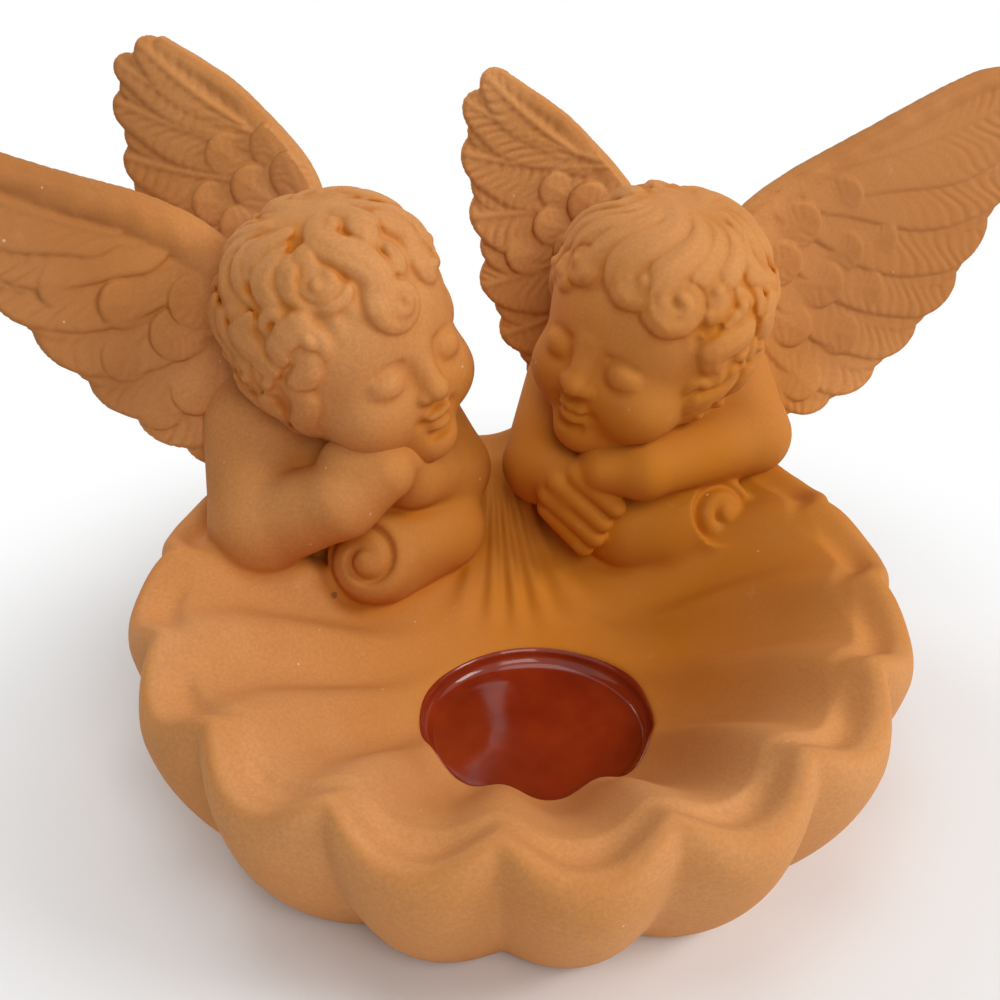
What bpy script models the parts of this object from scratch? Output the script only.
"""Angel candle holder: a slip-cast terracotta scallop dish with two winged cherubs on its back rim."""

import math

import bmesh
import bpy
import numpy as np
from mathutils import Matrix, Vector

# Lengths below are millimetres times MM, so the model is in metres.
MM = 0.001

# Dish
LOBES = 16
RIM_RADIUS = 110 * MM
LOBE_DEPTH = 8 * MM
RIM_HEIGHT = 63 * MM
RIM_TILT = 9 * MM
BACK_EDGE = 96 * MM
FOOT_RATIO = 0.80
WALL = 4.5 * MM
RIM_WIDTH = 10 * MM
RIM_DROP = 1.8 * MM
LOBE_DROP = 3 * MM
# The rim's rounding: share of its width, then depth below the crest against the drop.
RIM_PROFILE = ((0.3, 0.35), (0.58, 0), (0.84, 0.9), (1.0, 3.0))
RIB_HEIGHT = 5.5 * MM
FAN_HEIGHT = 1.3 * MM
FAN_STEP = math.radians(9)
UMBO = (4 * MM, 88 * MM)
RIB_ROOT = (4 * MM, 63 * MM)
RIB_SWEEP = 133 * MM
RIB_BEND = 2.54
RIB_START = 0.22

# Candle well. It takes a pillar candle 70 mm across with 1 mm to spare all round.
CANDLE_RADIUS = 35 * MM
CANDLE_GAP = 1 * MM
WELL_RADIUS = CANDLE_RADIUS + CANDLE_GAP
WELL_CENTRE = (3 * MM, -17 * MM)
WELL_FLOOR = 13 * MM
WELL_EDGE = 20 * MM

# Foot
FOOT_THICKNESS = 5 * MM
FOOT_ROUND = 1.5 * MM
DRAIN_RADIUS = 11 * MM
DRAIN_CENTRE = (0 * MM, 52 * MM)

# Mesh density
AROUND = 96
CAVITY_AROUND = 48
VOXEL = 1.3 * MM
CHERUB_TRIANGLES = 3020

# Finish: bare fired clay, and clear red-brown glaze in the well
CLAY_COLOUR = (0.62, 0.27, 0.105, 1)
CLAY_ROUGHNESS = 0.8
GLAZE_COLOUR = (0.16, 0.02, 0.004, 1)
GLAZE_ROUGHNESS = 0.12

# One cherub is a table of simple solids in millimetres. The head has its own frame, face towards -Y.
HEAD_SOLIDS = (
    ((0, 5, 7), (32, 33, 33)),
    ((0, -6, -13), (25, 26, 25)),
    ((0, -10, 10), (27, 23, 22)),
    ((13, -20, -13), (12, 11, 12)),
    ((-13, -20, -13), (12, 11, 12)),
    ((0, -26, -30), (8, 7, 7)),
    ((11.5, -27.5, -1), (6.5, 5, 4.2)),
    ((-11.5, -27.5, -1), (6.5, 5, 4.2)),
    ((3.4, -34, -10.5), (2.6, 2.6, 2.4)),
    ((-3.4, -34, -10.5), (2.6, 2.6, 2.4)),
    ((0, -31.6, -18.3), (7.5, 4.2, 2)),
    ((0, -31, -21.8), (6, 4.2, 2.4)),
    ((0, 8, 12), (35, 34.5, 32)),
)
NOSE = ((0, -31, 2), 2.6, (0, -36.5, -9), 4)
HEAD_CAVITY = ((0, 6, 8), (28, 29.5, 28.5))
# Curls stand round the hairline: place in the head's frame, then ring radius.
CURLS = (
    ((-31, -10, -6), 7),
    ((-30, -17, 5), 6.5),
    ((-23, -25, 15), 7),
    ((-11, -28, 22), 6.5),
    ((2, -30, 24), 7),
    ((14, -27, 21), 6.5),
    ((25, -23, 14), 7),
    ((31, -15, 3), 6.5),
    ((33, -6, -8), 7),
    ((27.5, 5, -16), 7),
    ((-28.5, 3, -15.5), 7),
    ((24, 18, -24), 7),
    ((-25, 17, -24), 7),
    ((-18, -19, 31), 6.5),
    ((4, -22, 35), 6.5),
    ((21, -16, 31), 6.5),
    ((-30, -5, 20), 6.5),
    ((34, -2, 18), 6.5),
)
# Locks run from the crown over the hair's ellipsoid, as tilt and swirl in degrees.
HAIR_CENTRE = (0, 8, 12)
HAIR_RADII = (34, 33.5, 31)
LOCKS = 13
LOCK_PATH = ((72, 0), (48, 8), (22, 4), (-6, 12), (-30, 4))
LOCK_RADIUS = 4
CURL_WIRE = 2.7
CURL_SINK = 1.5

# Left cherub, millimetres
LEFT = {
    "head": ((-46.5, 49, 120.5), 40, -4, -13, 1.06),
    "ellipsoids": (
        ((-66, 66, 78), (30, 26, 38)),
        ((-60, 62, 56), (27, 24, 24)),
        ((-72, 76, 98), (24, 18, 22)),
        ((-48, 46, 74), (21, 15, 19)),
    ),
    "limbs": (
        ((-60, 62, 90), 20, (-52, 56, 104), 19),
        ((-79, 56, 88), 15, (-77, 31, 63), 15),
        ((-77, 31, 63), 15, (-47, 25, 78), 10.5),
        ((-47, 25, 78), 10.5, (-36, 23, 85), 8.5),
        ((-40, 23, 85), 5, (-27, 24, 92), 4),
        ((-30, 74, 90), 15, (-17, 57, 66), 14),
        ((-17, 57, 66), 13, (-30, 38, 76), 9.5),
        ((-30, 38, 76), 9.5, (-31, 30, 86), 6),
    ),
    "scroll": ((-49, 33, 49), (-19, 50, 50), 14.5, -1),
    "cavities": (((-66, 66, 77), (25, 21, 32)),),
    "tunnels": (
        ((-66, 66, 70), 12, (-54, 50, 28), 8),
        ((-62, 62, 88), 10, (-52, 56, 116), 12),
    ),
}
# Right cherub, millimetres
RIGHT = {
    "head": ((49, 53, 117), -50, -1, 12, 1.02),
    "ellipsoids": (
        ((62, 72, 76), (33, 26, 38)),
        ((60, 64, 56), (28, 24, 24)),
        ((74, 79, 96), (24, 18, 22)),
        ((48, 50, 74), (22, 15, 18)),
    ),
    "limbs": (
        ((62, 66, 86), 20, (55, 59, 100), 19),
        ((86, 66, 92), 14, (91, 50, 75), 13),
        ((91, 50, 75), 12.5, (44, 35, 76), 9),
        ((44, 35, 76), 9, (30, 36, 73), 7),
        ((30, 76, 90), 15, (20, 58, 66), 14),
        ((20, 58, 66), 13, (26, 42, 66), 9),
        ((21, 41, 70), 4, (31, 38, 50), 3.2),
        ((26, 38, 71), 4, (37, 35, 52), 3.2),
        ((31, 36, 70), 4, (42, 34, 55), 3.2),
        ((17, 45, 68), 4, (25, 42, 48), 3.2),
    ),
    "scroll": ((77, 35, 48), (42, 46, 43), 15, 1),
    "cavities": (((62, 72, 76), (28, 21, 32)),),
    "tunnels": (
        ((62, 70, 70), 12, (54, 52, 28), 8),
        ((60, 66, 88), 10, (54, 58, 110), 12),
    ),
}

# A wing is its flat plane's front normal, its leading edge, the bone line that the feathers start
# from, and the feather tips.
LEFT_WINGS = (
    {
        "normal": (0.25, -1, 0.15),
        "lead": ((-76, 70, 128), (-92, 68, 147), (-108, 66, 158), (-133, 61, 169), (-158, 57, 181)),
        "bone": ((-129, 61, 160), (-92, 67, 133), (-89, 61, 91)),
        "tips": (
            (-164, 55, 178),
            (-161, 53, 161),
            (-154, 52, 143),
            (-143, 53, 126),
            (-129, 53, 107),
            (-116, 54, 93),
            (-102, 56, 81),
        ),
    },
    {
        "normal": (-0.3, -1, 0.25),
        "lead": ((-54, 80, 146), (-58, 86, 166), (-75, 96, 186), (-85, 102, 194), (-98, 107, 202)),
        "bone": ((-83, 99, 186), (-66, 89, 168), (-78, 86, 140)),
        "tips": (
            (-106, 110, 204),
            (-114, 111, 198),
            (-116, 109, 186),
            (-115, 104, 169),
            (-114, 100, 154),
            (-104, 95, 143),
        ),
    },
)
RIGHT_WINGS = (
    {
        "normal": (-0.3, -1, 0.25),
        "lead": ((54, 86, 138), (49, 90, 151), (38, 97, 165), (27, 103, 176), (11, 111, 187)),
        "bone": ((25, 103, 172), (40, 93, 152), (34, 84, 100)),
        "tips": (
            (4, 114, 190),
            (-3, 114, 181),
            (-5, 110, 164),
            (-3, 104, 143),
            (0, 97, 120),
            (6, 91, 104),
            (15, 85, 90),
        ),
    },
    {
        "normal": (0.15, -1, 0.15),
        "lead": ((76, 74, 122), (88, 76, 141), (103, 80, 153), (131, 86, 166), (172, 95, 183), (191, 99, 185)),
        "bone": ((137, 88, 164), (100, 78, 141), (98, 71, 92)),
        "tips": (
            (199, 100, 183),
            (196, 96, 160),
            (184, 90, 135),
            (173, 86, 115),
            (158, 81, 99),
            (142, 77, 85),
            (125, 73, 77),
            (111, 70, 76),
        ),
    },
)
FEATHER_THICKNESS = 4.6
FEATHER_TWIST = math.radians(9)
# Each row of feathers: share of the full length, share of the full width, added thickness.
FEATHER_ROWS = ((1.0, 1.0, 0), (0.6, 0.85, 1.8), (0.36, 0.75, 3.4))
LEAD_RADIUS = (5.5, 2.6)


def clear_scene():
    for item in list(bpy.data.objects):
        bpy.data.objects.remove(item, do_unlink=True)


def add_object(name, mesh):
    item = bpy.data.objects.new(name, mesh)
    bpy.context.scene.collection.objects.link(item)
    return item


def frame_from(axis, normal):
    """A rotation whose X runs along axis and whose Z leans to normal."""
    along = Vector(axis).normalized()
    across = Vector(normal).cross(along).normalized()
    up = along.cross(across)
    return Matrix((along, across, up)).transposed().to_4x4()


def lobe_wave(turn):
    """0 in the valleys and 1 on the lobes."""
    return np.abs(np.sin(LOBES * (turn - math.pi / LOBES) / 2)) ** 0.8


def dish_edge(turn, depth):
    """The outer rim line, flattened along the back, its lobes standing out by depth."""
    back = np.clip(-np.cos(turn), 0, 1) ** 3
    radius = RIM_RADIUS + depth * lobe_wave(turn) * (1 - 0.45 * back)
    x = radius * np.sin(turn)
    y = -radius * np.cos(turn)
    over = np.maximum(y - BACK_EDGE * 0.82, 0)
    y = y - over + BACK_EDGE * 0.18 * (1 - np.exp(-over / (BACK_EDGE * 0.18)))
    return x, y


def inner_edge(turn, depth):
    """The line where the rim's rounding meets the bowl."""
    x, y = dish_edge(turn, depth)
    keep = 1 - RIM_WIDTH / np.hypot(x, y)
    return x * keep, y * keep


def rim_height(turn):
    """The rim's crest: low at the front, and level again behind the cherubs."""
    back = np.clip(-np.cos(turn), 0, 1) ** 6
    return RIM_HEIGHT - RIM_TILT * np.cos(turn) - 3 * MM * back


def rim_share(x, y):
    """0 at the well's edge and 1 where the rim's rounding starts."""
    turn = np.linspace(-math.pi, math.pi, 181)
    edge_x, edge_y = inner_edge(turn, 0)
    edge_x = edge_x - WELL_CENTRE[0]
    edge_y = edge_y - WELL_CENTRE[1]
    aim = np.arctan2(edge_y, edge_x)
    order = np.argsort(aim)
    side_x = x - WELL_CENTRE[0]
    side_y = y - WELL_CENTRE[1]
    far = np.interp(
        np.arctan2(side_y, side_x),
        aim[order],
        np.hypot(edge_x, edge_y)[order],
        period=2 * math.pi,
    )
    return np.clip((np.hypot(side_x, side_y) - WELL_RADIUS) / (far - WELL_RADIUS), 0, 1)


def bowl_height(x, y):
    """The dish's upper face without its ribs and lobes."""
    out = rim_share(x, y)
    top = rim_height(np.arctan2(x, -y)) - RIM_DROP
    return WELL_EDGE + (top - WELL_EDGE) * (1.2 * out**1.2 - 0.2 * out**4)


def rib_centre(reach):
    """The centre of the ring of points that the ribs have reached."""
    x = RIB_ROOT[0] * (1 - reach)
    y = RIB_ROOT[1] * (1 - reach) - RIB_SWEEP * reach * (1 - reach) ** RIB_BEND
    return x, y


def rib_height(turn, reach, x, y):
    """Ridges at the rim valleys, higher towards the front, and a fan of ribs behind the well."""
    ridge = (0.5 + 0.5 * np.cos(LOBES * (turn - math.pi / LOBES))) ** 1.3
    front = np.clip(0.55 - y / (150 * MM), 0.3, 1)
    grow = np.clip((reach - RIB_START) / 0.25, 0, 1)
    height = RIB_HEIGHT * front * grow * ridge - LOBE_DROP * (1 - ridge) * reach**3
    fan_turn = np.arctan2(x - UMBO[0], UMBO[1] + 10 * MM - y)
    near = np.exp(-(((x - UMBO[0]) / (34 * MM)) ** 2)) * np.clip((y - 5 * MM) / (20 * MM), 0, 1)
    return height + FAN_HEIGHT * near * np.cos(2 * math.pi * fan_turn / FAN_STEP)


def wall_ratio(rise):
    """The outer wall's radius against the rim's: a quarter wave from foot to rim."""
    return FOOT_RATIO + (1 - FOOT_RATIO) * np.sin(math.pi / 2 * np.clip(rise, 0, 1) ** 0.85)


def ring(x, y, z):
    return np.stack(np.broadcast_arrays(x, y, z), axis=-1)


def dish_rings():
    """Closed rings along the ribs from the umbo over the rim and down to the foot."""
    turn = 2 * math.pi * np.arange(AROUND) / AROUND
    edge_x, edge_y = dish_edge(turn, LOBE_DEPTH)
    inner_x, inner_y = inner_edge(turn, LOBE_DEPTH)
    rings = []
    for reach in (0.11, 0.22, 0.34, 0.46, 0.57, 0.67, 0.76, 0.85, 0.93, 1.0):
        centre_x, centre_y = rib_centre(max(reach, RIB_START))
        x = centre_x + inner_x * reach
        y = centre_y + inner_y * reach
        rings.append(ring(x, y, bowl_height(x, y) + rib_height(turn, reach, x, y)))
    crest = rings[-1][:, 2] + RIM_DROP
    for share, drop in RIM_PROFILE:
        x = inner_x + (edge_x - inner_x) * share
        y = inner_y + (edge_y - inner_y) * share
        rings.append(ring(x, y, crest - drop * RIM_DROP))
    for rise in (0.6, 0.26):
        ratio = wall_ratio(rise)
        rings.append(ring(edge_x * ratio, edge_y * ratio, crest * rise))
    ratio = wall_ratio(0) * (1 + 0.01)
    rings.append(ring(edge_x * ratio, edge_y * ratio, FOOT_ROUND))
    ratio = wall_ratio(0) - FOOT_ROUND / RIM_RADIUS
    rings.append(ring(edge_x * ratio, edge_y * ratio, 0))
    return rings


def cavity_rings():
    """The dish's hollow: a closed tube of rings round the well, inside the valleys' line."""
    turn = 2 * math.pi * np.arange(CAVITY_AROUND) / CAVITY_AROUND
    edge_x, edge_y = dish_edge(turn, 0)
    inner_x, inner_y = inner_edge(turn, 0)
    aim = np.arctan2(inner_y - WELL_CENTRE[1], inner_x - WELL_CENTRE[0])
    start_x = WELL_CENTRE[0] + (WELL_RADIUS + WALL) * np.cos(aim)
    start_y = WELL_CENTRE[1] + (WELL_RADIUS + WALL) * np.sin(aim)
    rings = [ring(start_x, start_y, FOOT_THICKNESS)]
    for out in (0.0, 0.27, 0.54, 0.8):
        x = start_x + (inner_x - start_x) * out
        y = start_y + (inner_y - start_y) * out
        rings.append(ring(x, y, bowl_height(x, y) - LOBE_DROP * out - WALL * (1 + 0.35 * out)))
    length = np.hypot(edge_x, edge_y)
    for rise in (0.55, 0.35, 0.15):
        keep = wall_ratio(rise) - WALL * 1.15 / length
        rings.append(ring(edge_x * keep, edge_y * keep, (rim_height(turn) - LOBE_DROP) * rise))
    keep = wall_ratio(0) - WALL * 1.15 / length
    rings.append(ring(edge_x * keep, edge_y * keep, FOOT_THICKNESS))
    return rings


def lattice(name, rings, looped):
    """A mesh through the rings: looped as a tube, or closed at both ends by a fan."""
    bm = bmesh.new()
    rows = [[bm.verts.new(point) for point in points] for points in rings]
    pairs = list(zip(rows, rows[1:]))
    if looped:
        pairs.append((rows[-1], rows[0]))
    for near, far in pairs:
        count = len(near)
        for i in range(count):
            j = (i + 1) % count
            bm.faces.new((near[i], far[i], far[j], near[j]))
    if not looped:
        for row in (rows[0], rows[-1]):
            middle = bm.verts.new(sum((vert.co for vert in row), Vector()) / len(row))
            for i in range(len(row)):
                bm.faces.new((row[i], row[(i + 1) % len(row)], middle))
    bmesh.ops.recalc_face_normals(bm, faces=bm.faces)
    bmesh.ops.triangulate(bm, faces=bm.faces)
    mesh = bpy.data.meshes.new(name)
    bm.to_mesh(mesh)
    bm.free()
    return add_object(name, mesh)


def add_ball(bm, centre, radii, turn=None, detail=3):
    """An ellipsoid, centre and radii in millimetres."""
    place = Matrix.Translation(Vector(centre) * MM)
    if turn is not None:
        place = place @ turn
    size = Matrix.Diagonal((radii[0] * MM, radii[1] * MM, radii[2] * MM, 1))
    bmesh.ops.create_icosphere(bm, subdivisions=detail, radius=1, matrix=place @ size)


def add_limb(bm, start, start_radius, end, end_radius):
    """A taper with round ends: the hull of two balls."""
    own = bmesh.new()
    add_ball(own, start, (start_radius,) * 3, detail=2)
    add_ball(own, end, (end_radius,) * 3, detail=2)
    hull = bmesh.ops.convex_hull(own, input=own.verts, use_existing_faces=False)
    loose = [item for item in hull["geom_interior"] if isinstance(item, bmesh.types.BMVert)]
    bmesh.ops.delete(own, geom=loose, context="VERTS")
    bmesh.ops.recalc_face_normals(own, faces=own.faces)
    mesh = bpy.data.meshes.new("limb")
    own.to_mesh(mesh)
    own.free()
    bm.from_mesh(mesh)
    bpy.data.meshes.remove(mesh)


def add_ring(bm, place, radius, wire):
    """A curl: a torus from the modelling operator's circle swept by spin."""
    own = bmesh.new()
    across = Matrix.Translation((radius * MM, 0, 0)) @ Matrix.Rotation(math.pi / 2, 4, "X")
    made = bmesh.ops.create_circle(own, segments=8, radius=wire * MM, matrix=across)
    edges = list({edge for vert in made["verts"] for edge in vert.link_edges})
    bmesh.ops.spin(
        own,
        geom=edges + made["verts"],
        cent=(0, 0, 0),
        axis=(0, 0, 1),
        angle=2 * math.pi,
        steps=14,
        use_merge=True,
    )
    bmesh.ops.remove_doubles(own, verts=own.verts, dist=0.01 * MM)
    bmesh.ops.recalc_face_normals(own, faces=own.faces)
    bmesh.ops.transform(own, matrix=place, verts=own.verts)
    mesh = bpy.data.meshes.new("curl")
    own.to_mesh(mesh)
    own.free()
    bm.from_mesh(mesh)
    bpy.data.meshes.remove(mesh)


def head_frame(head):
    centre, yaw, pitch, roll, size = head
    turn = Matrix.Rotation(math.radians(yaw), 4, "Z")
    turn = turn @ Matrix.Rotation(math.radians(roll), 4, "Y")
    turn = turn @ Matrix.Rotation(math.radians(pitch), 4, "X")
    return Vector(centre), turn, size


def add_head(bm, head):
    centre, turn, size = head_frame(head)

    def spot(place):
        return centre + turn @ Vector(place) * size

    for place, radii in HEAD_SOLIDS:
        add_ball(bm, spot(place), [radius * size for radius in radii], turn)
    top, top_radius, tip, tip_radius = NOSE
    add_limb(bm, spot(top), top_radius * size, spot(tip), tip_radius * size)
    for lock in range(LOCKS):
        aim = 2 * math.pi * lock / LOCKS
        points = []
        for tilt, swirl in LOCK_PATH:
            round_aim = aim + math.radians(swirl)
            low = math.radians(tilt)
            out = (math.cos(low) * math.sin(round_aim), math.cos(low) * math.cos(round_aim), math.sin(low))
            points.append([HAIR_CENTRE[i] + HAIR_RADII[i] * out[i] for i in range(3)])
        if points[-1][1] < -20:
            points.pop()
        for near, far in zip(points, points[1:]):
            add_limb(bm, spot(near), LOCK_RADIUS, spot(far), LOCK_RADIUS)
    for place, radius in CURLS:
        out = Vector(place).normalized()
        middle = spot(Vector(place) - out * CURL_SINK)
        facing = (turn @ out).to_track_quat("Z", "Y").to_matrix().to_4x4()
        add_ring(bm, Matrix.Translation(middle * MM) @ facing, radius - CURL_WIRE, CURL_WIRE)
        add_ball(bm, middle, (radius - CURL_WIRE,) * 3, detail=2)


def along_line(points, share):
    """The point at this share of a line's points, and straight between them."""
    spot = share * (len(points) - 1)
    first = min(int(spot), len(points) - 2)
    return Vector(points[first]).lerp(Vector(points[first + 1]), spot - first)


def add_wing(bm, wing):
    """A fan of flattened feathers in three rows behind a round leading edge."""
    lead = wing["lead"]
    steps = len(lead) - 1
    for i in range(steps):
        radii = [LEAD_RADIUS[0] + (LEAD_RADIUS[1] - LEAD_RADIUS[0]) * k / steps for k in (i, i + 1)]
        add_limb(bm, lead[i], radii[0], lead[i + 1], radii[1])
    tips = wing["tips"]
    last = len(tips) - 1
    for share, wide, thicker in FEATHER_ROWS:
        for i, tip in enumerate(tips):
            base = along_line(wing["bone"], i / last)
            tip = Vector(tip)
            near = Vector(tips[max(i - 1, 0)])
            far = Vector(tips[min(i + 1, last)])
            gap = (far - near).length / (min(i + 1, last) - max(i - 1, 0))
            width = max(gap * 1.5, 15) * wide
            back = (base - tip).normalized() * 8
            end = (base + back).lerp(tip, share)
            middle = (base + back + end) / 2
            reach = (end - base - back).length / 2
            turn = frame_from(tip - base, wing["normal"])
            turn = turn @ Matrix.Rotation(FEATHER_TWIST, 4, "X")
            radii = (reach, width / 2, (FEATHER_THICKNESS + thicker) / 2)
            add_ball(bm, middle, radii, turn, detail=3)
    for share in (0.45, 0.75, 1.0):
        middle = along_line(wing["bone"], share)
        add_ball(bm, middle, (13, 4, 15), frame_from((1, 0, 0), (0, 0, 1)))


def add_scroll(bm, scroll):
    """A volute: a barrel with a coiled ring on its outer face."""
    face, far, radius, side = scroll
    add_limb(bm, face, radius, far, radius * 0.9)
    axis = (Vector(face) - Vector(far)).normalized()
    axis = (axis + Vector((0.25 * side, -0.9, 0.35))).normalized()
    facing = axis.to_track_quat("Z", "Y").to_matrix().to_4x4()
    spot = Matrix.Translation((Vector(face) + axis * radius * 0.72) * MM) @ facing
    add_ring(bm, spot, radius * 0.62, 2.4)
    add_ball(bm, Vector(face) + axis * radius * 0.72, (3.6,) * 3, detail=2)


def evaluated_copy(item):
    """The object's mesh with its modifiers applied, as a new mesh."""
    bpy.context.view_layer.update()
    graph = bpy.context.evaluated_depsgraph_get()
    mesh = bpy.data.meshes.new_from_object(item.evaluated_get(graph))
    return mesh


def cherub(name, sizes, wings):
    """All of one cherub as clay: remeshed to one skin, smoothed, then thinned."""
    bm = bmesh.new()
    add_head(bm, sizes["head"])
    for centre, radii in sizes["ellipsoids"]:
        add_ball(bm, centre, radii)
    for limb in sizes["limbs"]:
        add_limb(bm, *limb)
    add_scroll(bm, sizes["scroll"])
    for wing in wings:
        add_wing(bm, wing)
    mesh = bpy.data.meshes.new(name)
    bm.to_mesh(mesh)
    bm.free()
    item = add_object(name, mesh)
    skin = item.modifiers.new("skin", "REMESH")
    skin.mode = "VOXEL"
    skin.voxel_size = VOXEL
    soft = item.modifiers.new("soft", "SMOOTH")
    soft.factor = 0.5
    soft.iterations = 2
    dense = evaluated_copy(item)
    thin = item.modifiers.new("thin", "DECIMATE")
    dense.calc_loop_triangles()
    thin.ratio = CHERUB_TRIANGLES / len(dense.loop_triangles)
    item.data = evaluated_copy(item)
    item.modifiers.clear()
    return item


def hollow(name, sizes):
    """The cast's hollow in one cherub: torso, neck and head, down to the dish's hollow."""
    bm = bmesh.new()
    centre, turn, size = head_frame(sizes["head"])
    place, radii = HEAD_CAVITY
    add_ball(bm, centre + turn @ Vector(place) * size, radii, turn, detail=2)
    for middle, size in sizes["cavities"]:
        add_ball(bm, middle, size, detail=2)
    for tunnel in sizes["tunnels"]:
        add_limb(bm, *tunnel)
    mesh = bpy.data.meshes.new(name)
    bm.to_mesh(mesh)
    bm.free()
    item = add_object(name, mesh)
    skin = item.modifiers.new("skin", "REMESH")
    skin.mode = "VOXEL"
    skin.voxel_size = 2 * VOXEL
    thin = item.modifiers.new("thin", "DECIMATE")
    thin.ratio = 0.08
    item.data = evaluated_copy(item)
    item.modifiers.clear()
    return item


def combine(target, other, operation):
    """An exact Boolean, applied."""
    step = target.modifiers.new(operation, "BOOLEAN")
    step.object = other
    step.operation = operation
    step.solver = "EXACT"
    target.data = evaluated_copy(target)
    target.modifiers.clear()
    bpy.data.objects.remove(other, do_unlink=True)


def cylinder(name, centre, radius, bottom, top, segments):
    """A round cutter."""
    bm = bmesh.new()
    bmesh.ops.create_cone(
        bm,
        cap_ends=True,
        segments=segments,
        radius1=radius,
        radius2=radius,
        depth=top - bottom,
        matrix=Matrix.Translation((centre[0], centre[1], (top + bottom) / 2)),
    )
    mesh = bpy.data.meshes.new(name)
    bm.to_mesh(mesh)
    bm.free()
    return add_object(name, mesh)


def material(name, colour, roughness):
    made = bpy.data.materials.new(name)
    made.use_nodes = True
    shader = made.node_tree.nodes["Principled BSDF"]
    shader.inputs["Base Color"].default_value = colour
    shader.inputs["Roughness"].default_value = roughness
    shader.inputs["Metallic"].default_value = 0
    return made


def finish(body):
    """Clay all over and glaze on the well's floor and wall, smooth but for the sharp edges."""
    mesh = body.data
    mesh.materials.clear()
    mesh.materials.append(material("terracotta", CLAY_COLOUR, CLAY_ROUGHNESS))
    mesh.materials.append(material("glaze", GLAZE_COLOUR, GLAZE_ROUGHNESS))
    for face in mesh.polygons:
        side = math.hypot(face.center.x - WELL_CENTRE[0], face.center.y - WELL_CENTRE[1])
        in_well = side < WELL_RADIUS + 0.1 * MM and face.center.z > WELL_FLOOR - 0.1 * MM
        face.material_index = 1 if in_well and face.center.z < RIM_HEIGHT / 2 else 0
    mesh.shade_smooth()
    mesh.set_sharp_from_angle(angle=math.radians(38))


def main():
    clear_scene()
    body = lattice("angel_candle_holder", dish_rings(), False)
    well = cylinder("well", WELL_CENTRE, WELL_RADIUS, WELL_FLOOR, RIM_HEIGHT, 72)
    combine(body, well, "DIFFERENCE")
    combine(body, cherub("left_cherub", LEFT, LEFT_WINGS), "UNION")
    combine(body, cherub("right_cherub", RIGHT, RIGHT_WINGS), "UNION")
    space = lattice("space", cavity_rings(), True)
    combine(space, hollow("left_hollow", LEFT), "UNION")
    combine(space, hollow("right_hollow", RIGHT), "UNION")
    drain = cylinder("drain", DRAIN_CENTRE, DRAIN_RADIUS, -FOOT_THICKNESS, FOOT_THICKNESS * 1.5, 40)
    combine(space, drain, "UNION")
    combine(body, space, "DIFFERENCE")
    body.data.name = body.name
    finish(body)


main()
